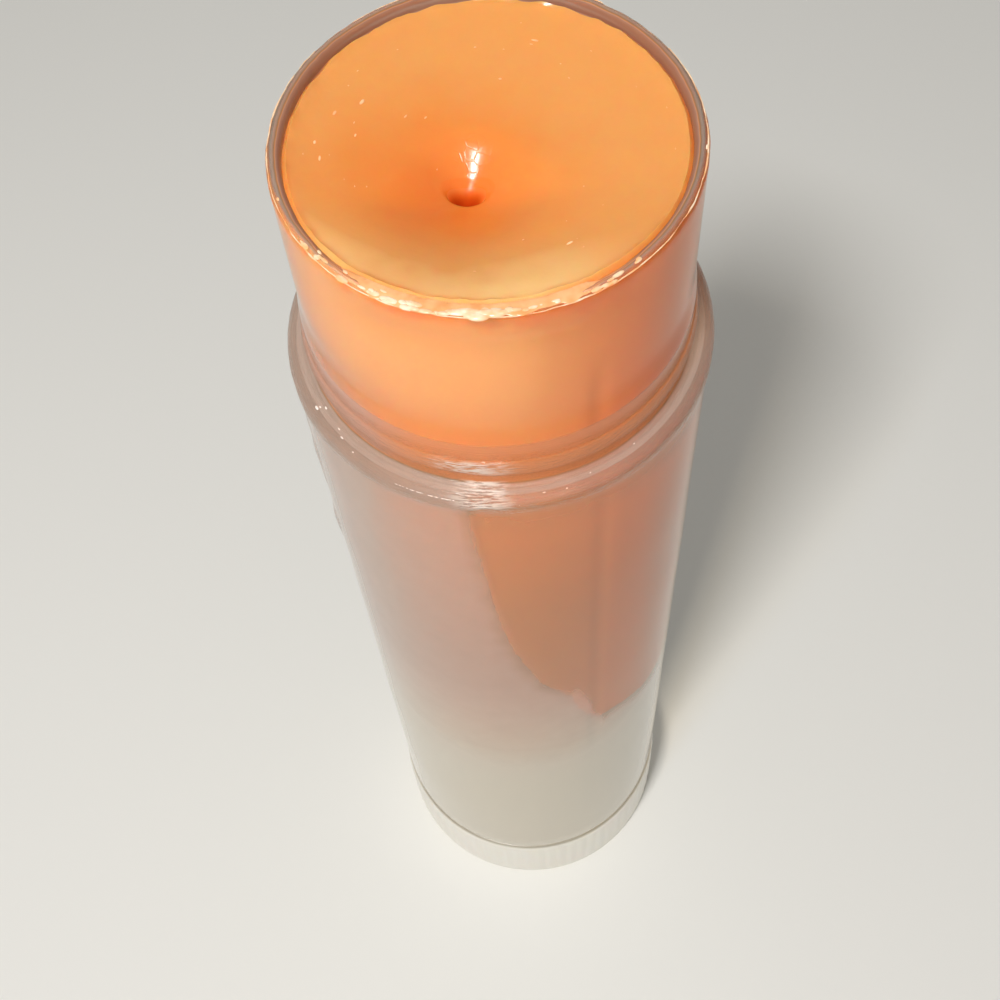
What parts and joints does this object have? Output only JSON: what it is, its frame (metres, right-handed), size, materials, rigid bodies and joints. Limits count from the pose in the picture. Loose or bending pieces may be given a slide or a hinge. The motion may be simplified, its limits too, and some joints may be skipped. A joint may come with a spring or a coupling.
{
  "type": "lip balm stick",
  "caption": "Open twist-up lip balm stick: a translucent barrel with a stepped neck, filled with balm that a threaded spindle lifts when the thumb wheel at the foot is turned.",
  "frame": {"origin": "centre of the thumb wheel's underside, on the surface that the stick stands on", "axes": "+Z along the stick's axis, up towards the neck; +X to the right and -Y to the front, as the picture sees it"},
  "size_m": [0.016, 0.016, 0.0598],
  "materials": {
    "natural_polypropylene": "translucent, moulded, satin",
    "wheel_polypropylene": "moulded, satin",
    "inner_polypropylene": "moulded, satin",
    "balm_wax": "poured wax, soft sheen"
  },
  "bodies": {
    "barrel": {"barrel": "natural_polypropylene"},
    "wheel": {"thumb_wheel": "wheel_polypropylene", "spindle": "inner_polypropylene"},
    "carrier": {"elevator": "inner_polypropylene", "balm": "balm_wax"}
  },
  "joints": [
    {"name": "wheel_turn", "type": "hinge", "parent": "barrel", "child": "wheel", "pos_m": [0, 0, 0.0027], "axis": [0, 0, 1], "range_deg": [0, 4860]},
    {"name": "balm_lift", "type": "slide", "parent": "barrel", "child": "carrier", "axis": [0, 0, 1], "range_m": [0, 0.0405]}
  ],
  "couplings": [
    {"joint": "wheel_turn", "follows": "balm_lift", "rad_per_m": 2094.4}
  ]
}
